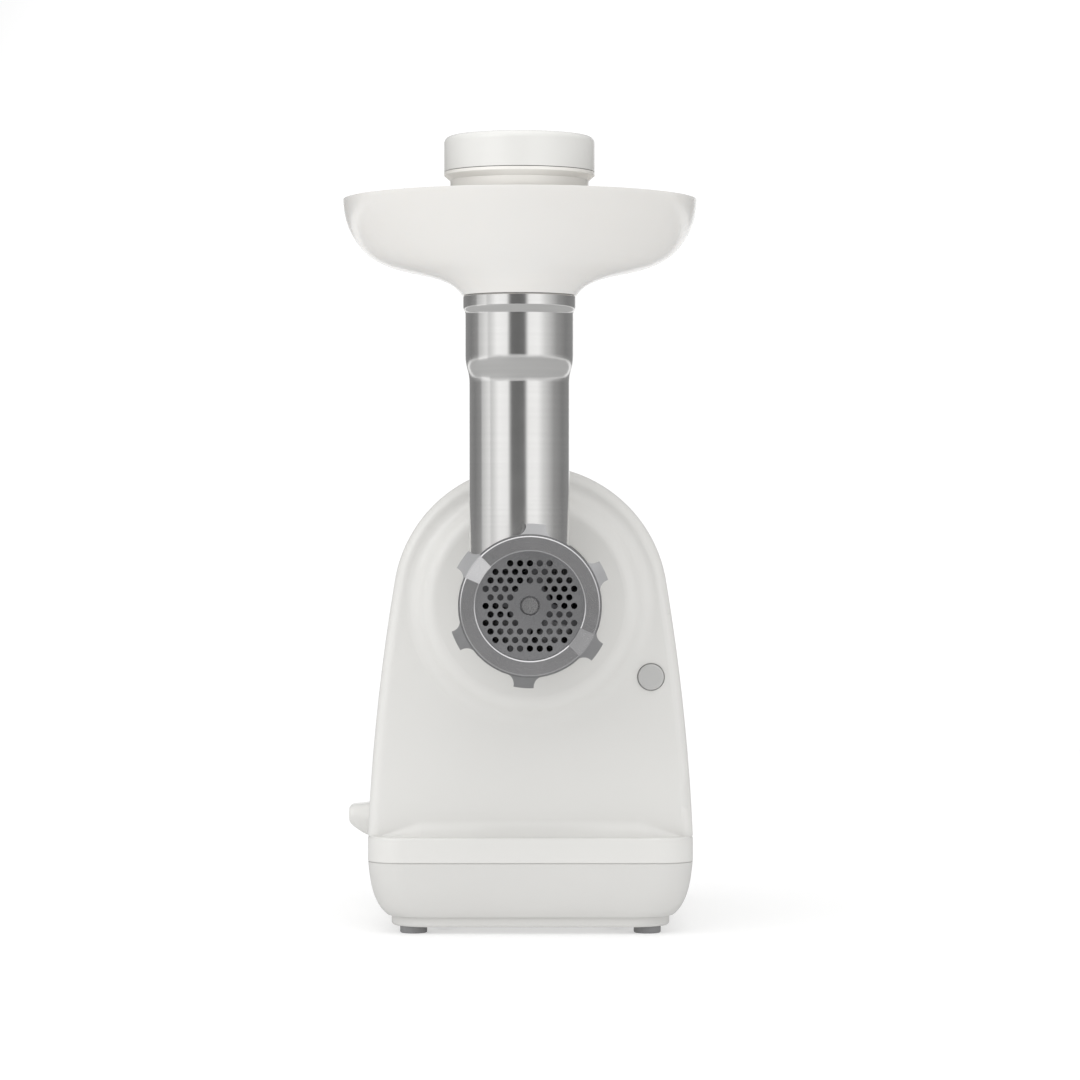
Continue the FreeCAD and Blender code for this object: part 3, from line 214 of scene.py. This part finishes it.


def nut_metal(name, machined, lug_shade_colour, machined_rough, lug_rough):
    """Die cast nut: the turned collar is bright; the lugs outside it are painted darker, a painted shade for
    the dark they mirror.
    """
    g = Graph(name)
    patch = g.noise(PATCHES, 5, 0.6)
    sand = g.noise(SAND, 4, 0.7)
    away = g.add("ShaderNodeVectorMath", operation="SUBTRACT")
    away.inputs[1].default_value = joints["nut_turn"]["pos_m"]
    g.link(g.coords, away.inputs[0])
    flat = g.add("ShaderNodeVectorMath", operation="MULTIPLY")
    flat.inputs[1].default_value = ACROSS_NUT
    g.link(away.outputs["Vector"], flat.inputs[0])
    radius = g.add("ShaderNodeVectorMath", operation="LENGTH")
    g.link(flat.outputs["Vector"], radius.inputs[0])
    outside = g.span(radius.outputs["Value"], 0, 1, *NUT_LUG_SHADE_FROM)
    bright = g.ramp(patch, shades(machined, 0.05, 0.05))
    # painted shade: the lugs take the darker colour
    painted_shade_lugs = g.ramp(patch, shades(lug_shade_colour, 0.1, 0.1))
    g.colour(g.mix(outside, bright, painted_shade_lugs))
    rough = g.add("ShaderNodeMix")
    g.link(outside, rough.inputs["Factor"])
    g.link(g.span(sand, machined_rough - 0.04, machined_rough + 0.05), rough.inputs["A"])
    g.link(g.span(sand, lug_rough - 0.05, lug_rough + 0.07), rough.inputs["B"])
    g.rough(rough.outputs["Result"])
    sandy_bump(g, sand, 0.12)
    g.set(Metallic=1.0)
    return g


def matte(name, colour, rough, grain=0.3, scale=MATTE_GRAIN, spread=0.08):
    """Unpolished plastic, rubber or carbon: fine grain and soft smudges."""
    g = Graph(name)
    speck = g.noise(scale, 4, 0.6)
    g.colour(g.ramp(g.noise(SMUDGES, 3), shades(colour, spread, spread)))
    g.rough(g.span(speck, rough - 0.08, rough + 0.1))
    g.bump((speck, grain, 0.00005))
    return g


def tray_plastic(name):
    """Glossy food-grade plastic, thin enough to glow a little."""
    g = moulded_plastic(name, (0.765, 0.752, 0.728), gloss=0.2, coat=0.3, grain=0.01)
    g.set(Subsurface_Weight=0.25, Subsurface_Scale=0.004, Subsurface_Radius=(1.0, 0.92, 0.84))
    return g


def copper_wire(name):
    """Enamelled wire wound lengthwise."""
    g = Graph(name)
    turns = g.noise(1.0, 2, 0.5, g.stretched(WINDING))
    g.colour(g.ramp(turns, [(0.3, (0.45, 0.16, 0.07)), (0.7, (0.78, 0.36, 0.18))]))
    g.rough(g.span(turns, 0.3, 0.5))
    g.bump((turns, 0.6, 0.0002))
    g.set(Metallic=0.8)
    return g


def laminated_steel(name):
    """Thin sheets stacked along Y."""
    g = Graph(name)
    sheets = g.add("ShaderNodeTexWave", bands_direction="Y")
    sheets.inputs["Scale"].default_value = LAMINATIONS
    sheets.inputs["Distortion"].default_value = 0.3
    g.link(g.coords, sheets.inputs["Vector"])
    fac = sheets.outputs["Fac"]
    g.colour(g.ramp(fac, [(0.2, (0.10, 0.10, 0.11)), (0.8, (0.32, 0.32, 0.34))]))
    g.rough(g.span(g.noise(PITS, 4), 0.35, 0.55))
    g.bump((fac, 0.5, 0.0001))
    g.set(Metallic=0.7)
    return g


# by the record's material slot, or by a look that OWN_LOOK names
materials = {
    "white_plastic": moulded_plastic("housing_plastic", (0.738, 0.732, 0.710)),
    "base_plastic": moulded_plastic("base_plastic", (0.675, 0.669, 0.65)),
    "tray_plastic": tray_plastic("tray_plastic"),
    "button_plastic": moulded_plastic("button_plastic", (0.51, 0.51, 0.50), gloss=0.34),
    # painted light: the pusher is lighter than the lid, its same plastic, to make up for the shade under the
    # lid's overhang and the tray
    "pusher_painted_light_plastic": moulded_plastic("pusher_painted_light_plastic", (0.86, 0.84, 0.80), gloss=0.26),
    "lid_plastic": moulded_plastic("lid_plastic", (0.755, 0.75, 0.726), gloss=0.26),
    "inner_plastic": matte("socket_plastic", (0.35, 0.355, 0.36), 0.5),
    "nylon": matte("nylon", (0.72, 0.70, 0.62), 0.42, 0.15),
    "black_plastic": matte("black_plastic", (0.03, 0.03, 0.032), 0.5),
    "rubber": matte("rubber", (0.23, 0.23, 0.232), 0.75, 0.4, 900, 0.15),
    "carbon": matte("carbon", (0.03, 0.03, 0.03), 0.7, 0.4),
    "cast_aluminium": cast_metal("cast_aluminium", (0.46, 0.457, 0.46), 0.26, 0.15),
    # the nut's second colour is painted shade on its lugs
    "nut_metal": nut_metal("nut_metal", (0.56, 0.556, 0.563), (0.38, 0.38, 0.385), 0.24, 0.32),
    "polished_head": turned_metal("polished_head", (0.74, 0.735, 0.725), 0.14, LEVEL_RINGS, 0.03, 0.06),
    # painted shade: the knife is near black so that the disc's holes show the dark inside the head
    "knife_painted_shade_steel": turned_metal("knife_painted_shade_steel", (0.16, 0.16, 0.165), 0.4, LENGTHWISE),
    "steel": turned_metal("turned_steel", (0.50, 0.50, 0.51), 0.24, LENGTHWISE),
    "screw_steel": turned_metal("screw_steel", (0.6, 0.6, 0.62), 0.3, ALL_WAYS),
    "lamination": laminated_steel("laminated_steel"),
    "copper": copper_wire("copper_wire"),
}

# nodes whose look differs from the others of their slot
OWN_LOOK = {
    # the pusher's lighter plastic is painted light against the shade it stands in
    "pusher": "pusher_painted_light_plastic",
    "pusher_lid": "lid_plastic",
    # the knife's near black steel is painted shade
    "knife": "knife_painted_shade_steel",
    "ring_nut": "nut_metal",
}


def paint_nodes():
    """Every CAD node keeps its shape and takes the material of its slot, or one of its own."""
    for part in frame["record"]["subparts"]:
        node = nodes[part["node"]]
        look = OWN_LOOK.get(part["node"], part["material_slot"])
        node.data.materials.clear()
        node.data.materials.append(materials[look].material)


paint_nodes()

# ---- floor, light and surround -------------------------------------------------------------------

# lines of the floor's grid, in metres
FLOOR_X = (-3.0, -1.0, 1.0, 3.0)
FLOOR_Y = (-3.0, -1.0, 0.4, 1.6)
FLOOR_CLOUDS = 3
FLOOR_SHADES = [(0.3, (0.62, 0.62, 0.62)), (0.7, (0.64, 0.64, 0.64))]
FLOOR_GLOW = 0.42
# the floor as metal mirrors it
MIRRORED_SHADE = (0.46, 0.46, 0.46)
MIRRORED_GLOW = 0.05


def make_floor():
    """A plain pale floor that glows a little; past its far edge the surround is just as white.

    Metal mirrors it darker than it looks, as it would with black cards laid round the object.
    """
    mesh = bpy.data.meshes.new("floor")
    bm = bmesh.new()
    rows = [[bm.verts.new((x, y, 0)) for x in FLOOR_X] for y in FLOOR_Y]
    for near, far in zip(rows, rows[1:]):
        for i in range(len(FLOOR_X) - 1):
            bm.faces.new((near[i], near[i + 1], far[i + 1], far[i]))
    bm.to_mesh(mesh)
    bm.free()
    floor = bpy.data.objects.new("floor", mesh)
    bpy.context.scene.collection.objects.link(floor)
    g = Graph("floor")
    mirrored = g.add("ShaderNodeLightPath").outputs["Is Glossy Ray"]
    g.colour(g.mix(mirrored, g.ramp(g.noise(FLOOR_CLOUDS, 2), FLOOR_SHADES), MIRRORED_SHADE))
    g.link(g.span(mirrored, FLOOR_GLOW, MIRRORED_GLOW, 0, 1), g.shader.inputs["Emission Strength"])
    g.set(Roughness=0.9, Specular_IOR_Level=0.1, Emission_Color=(1, 1, 1, 1))
    mesh.materials.append(g.material)


# name, place, what it points at and size in metres, then watts
LIGHTS = (
    ("key", (-1.5, -1.3, 1.3), (0, 0, 0.17), (1.0, 1.2), 5),
    ("top", (0, -0.1, 2.0), (0, 0, 0.2), (1.6, 1.6), 4),
    ("left", (-2.0, -0.3, 0.7), (0, 0, 0.2), (1.0, 1.6), 1.5),
)


def area_light(name, place, target, size, power):
    data = bpy.data.lights.new(name, "AREA")
    data.shape = "RECTANGLE"
    data.size, data.size_y = size
    data.energy = power
    light = bpy.data.objects.new(name, data)
    light.location = place
    light.rotation_euler = (Vector(target) - Vector(place)).to_track_quat("-Z", "Y").to_euler()
    bpy.context.scene.collection.objects.link(light)


# angle from straight in front, in degrees, and how bright the surround is there
SURROUND = (
    (0, 0.15),
    (15, 0.17),
    (23, 1.10),
    (45, 1.15),
    (60, 0.80),
    (90, 0.36),
    (120, 0.24),
    (160, 0.30),
    (168, 1.08),
    (180, 1.08),
)
SURROUND_LEAN = math.radians(3.3)
RAMP_SHARE = 2.0  # a ramp holds at most 1, so brightness is divided by this there and multiplied after it
OVERHEAD = 0.62  # brightness added straight above
GROUND = 1.03  # brightness of the ground past the floor
# upward parts of a direction, as the sine of its height, where these two start and where they are whole
OVERHEAD_FROM = (0.35, 0.8)
GROUND_FROM = (-0.045, -0.06)


def make_world():
    """Studio surround: a dark gap in front, screens either side of it, and pale ground past the floor."""
    world = bpy.data.worlds.new("studio")
    bpy.context.scene.world = world
    world.use_nodes = True
    tree = world.node_tree

    def add(kind, operation=None):
        node = tree.nodes.new(kind)
        if operation:
            node.operation = operation
        return node

    def rise(socket, places, top=1.0):
        """0 at the first of the two places, top at the second."""
        node = add("ShaderNodeMapRange")
        node.inputs["From Min"].default_value, node.inputs["From Max"].default_value = places
        node.inputs["To Max"].default_value = top
        tree.links.new(socket, node.inputs["Value"])
        return node.outputs["Result"]

    direction = add("ShaderNodeTexCoord").outputs["Generated"]
    facing = add("ShaderNodeVectorMath", "DOT_PRODUCT")
    facing.inputs[1].default_value = (math.sin(SURROUND_LEAN), math.cos(SURROUND_LEAN), 0)
    tree.links.new(direction, facing.inputs[0])
    height = add("ShaderNodeSeparateXYZ")
    tree.links.new(direction, height.inputs[0])

    ramp = add("ShaderNodeValToRGB")
    elements = ramp.color_ramp.elements
    while len(elements) < len(SURROUND):
        elements.new(0.5)
    for element, (deg, value) in zip(elements, SURROUND):
        element.position = (1 - math.cos(math.radians(deg))) / 2
        share = value / RAMP_SHARE
        element.color = (share, share, share, 1)
    tree.links.new(rise(facing.outputs["Value"], (-1.0, 1.0)), ramp.inputs["Fac"])

    sky = add("ShaderNodeMath", "MULTIPLY_ADD")
    sky.inputs[1].default_value = RAMP_SHARE
    tree.links.new(ramp.outputs["Color"], sky.inputs[0])
    tree.links.new(rise(height.outputs["Z"], OVERHEAD_FROM, OVERHEAD), sky.inputs[2])

    whole = add("ShaderNodeMix")
    whole.inputs["B"].default_value = GROUND
    tree.links.new(rise(height.outputs["Z"], GROUND_FROM), whole.inputs["Factor"])
    tree.links.new(sky.outputs["Value"], whole.inputs["A"])
    back = tree.nodes["Background"]
    tree.links.new(whole.outputs["Result"], back.inputs["Strength"])
    back.inputs["Color"].default_value = (1, 1, 1, 1)


make_floor()
make_world()
for light in LIGHTS:
    area_light(*light)

bpy.context.scene.view_settings.view_transform = "Standard"
